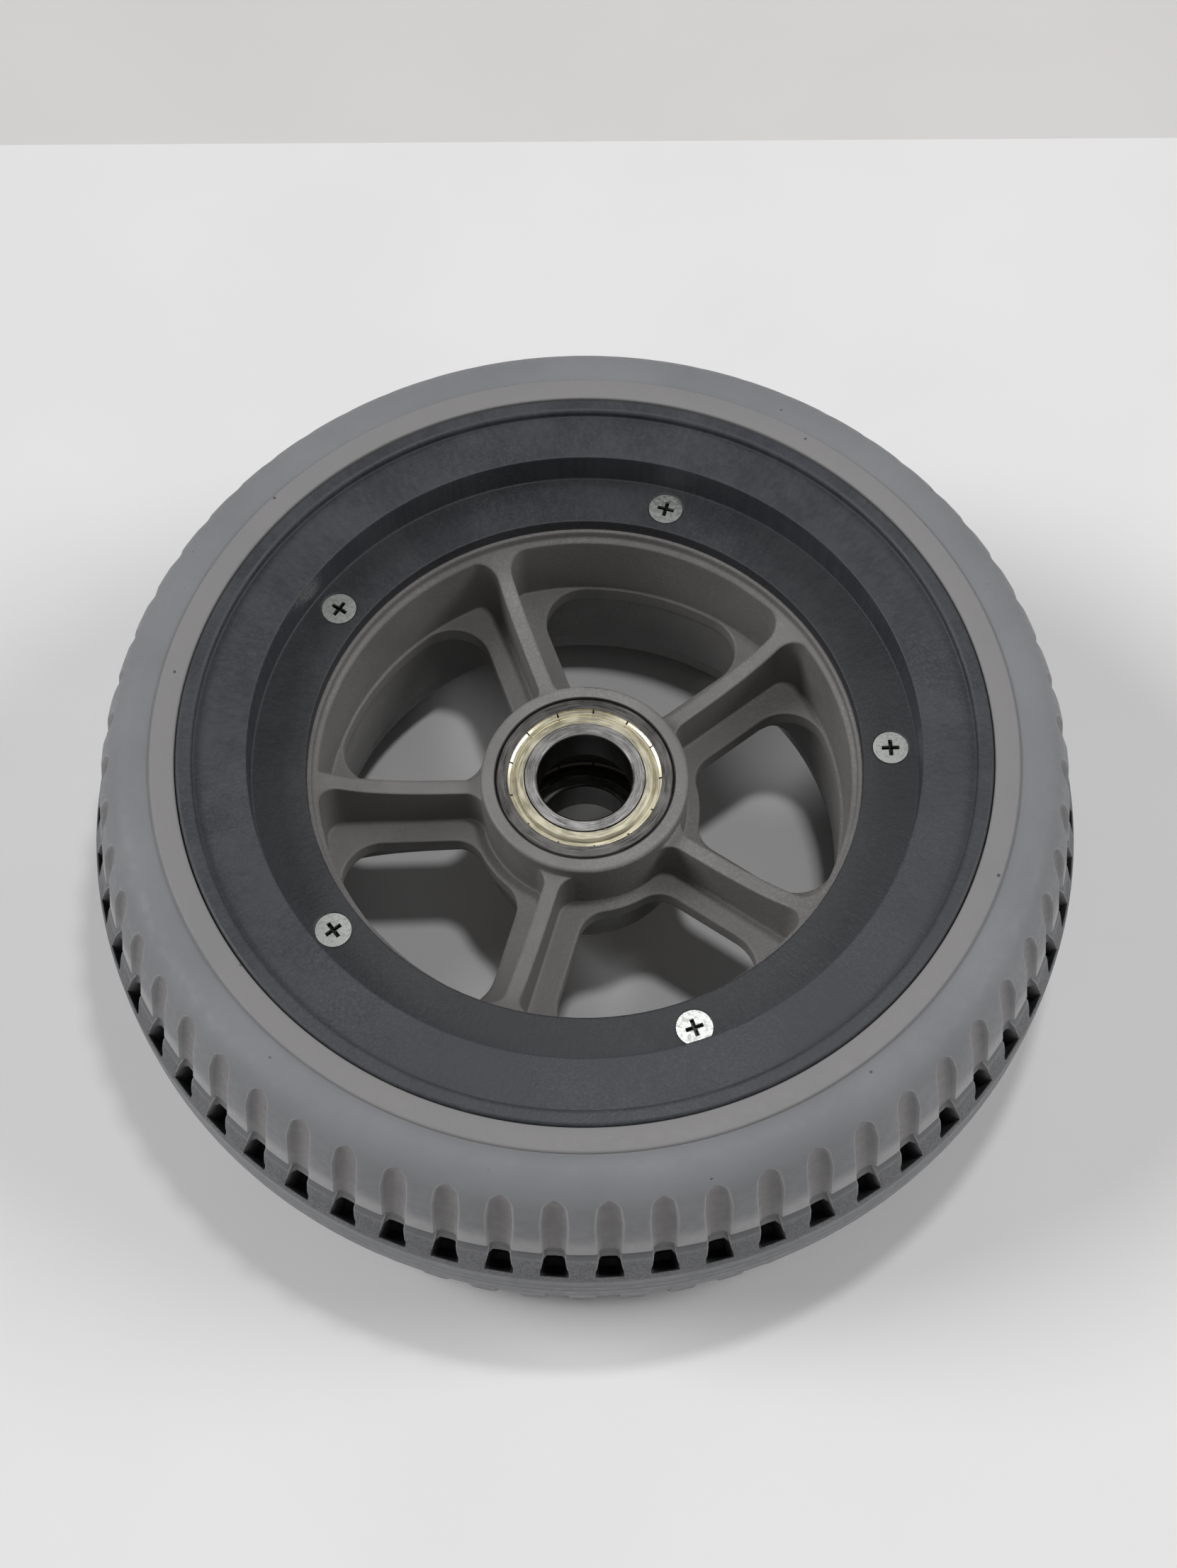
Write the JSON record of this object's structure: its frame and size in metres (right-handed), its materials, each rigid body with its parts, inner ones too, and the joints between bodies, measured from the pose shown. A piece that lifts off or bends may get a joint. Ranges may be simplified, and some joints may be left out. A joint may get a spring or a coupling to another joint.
{
  "type": "puncture-proof wheel",
  "caption": "Solid foam tire with scooped shoulders on a spoked plastic rim, held by a screwed-on clamp ring, turning on shielded ball bearings in the hub.",
  "frame": {"origin": "centre of the wheel, on the axle axis half way between the tire's two side faces", "axes": "+Z along the axle axis towards the clamp ring, +X and +Y across the wheel"},
  "size_m": [0.26, 0.26, 0.0896],
  "materials": {
    "tire_foam": "matte foam skin",
    "rim_plastic": "moulded satin",
    "ring_plastic": "moulded satin",
    "screw_zinc": "zinc plated",
    "bearing_steel": "ground",
    "ball_steel": "polished",
    "cage_steel": "pressed sheet",
    "shield_zinc": "pale yellow passivated"
  },
  "bodies": {
    "wheel": {"tire": "tire_foam", "rim_body": "rim_plastic", "rim_ring": "ring_plastic", "ring_screws": "screw_zinc", "upper_outer_ring": "bearing_steel", "upper_shield_outer": "shield_zinc", "upper_shield_inner": "shield_zinc", "lower_outer_ring": "bearing_steel", "lower_shield_outer": "shield_zinc", "lower_shield_inner": "shield_zinc"},
    "upper_race": {"upper_inner_ring": "bearing_steel"},
    "lower_race": {"lower_inner_ring": "bearing_steel"},
    "upper_ball_set": {"upper_balls": "ball_steel", "upper_cage_top": "cage_steel", "upper_cage_bottom": "cage_steel", "upper_cage_rivets": "cage_steel"},
    "lower_ball_set": {"lower_balls": "ball_steel", "lower_cage_top": "cage_steel", "lower_cage_bottom": "cage_steel", "lower_cage_rivets": "cage_steel"}
  },
  "joints": [
    {"name": "upper_race_spin", "type": "hinge", "parent": "wheel", "child": "upper_race", "pos_m": [0, 0, 0.015], "axis": [0, 0, 1], "continuous": true},
    {"name": "upper_ball_orbit", "type": "hinge", "parent": "wheel", "child": "upper_ball_set", "pos_m": [0, 0, 0.015], "axis": [0, 0, 1], "continuous": true},
    {"name": "lower_race_spin", "type": "hinge", "parent": "wheel", "child": "lower_race", "pos_m": [0, 0, -0.015], "axis": [0, 0, 1], "continuous": true},
    {"name": "lower_ball_orbit", "type": "hinge", "parent": "wheel", "child": "lower_ball_set", "pos_m": [0, 0, -0.015], "axis": [0, 0, 1], "continuous": true}
  ],
  "couplings": [
    {"joint": "upper_ball_orbit", "follows": "upper_race_spin", "ratio": 0.4118},
    {"joint": "lower_ball_orbit", "follows": "lower_race_spin", "ratio": 0.4118}
  ]
}
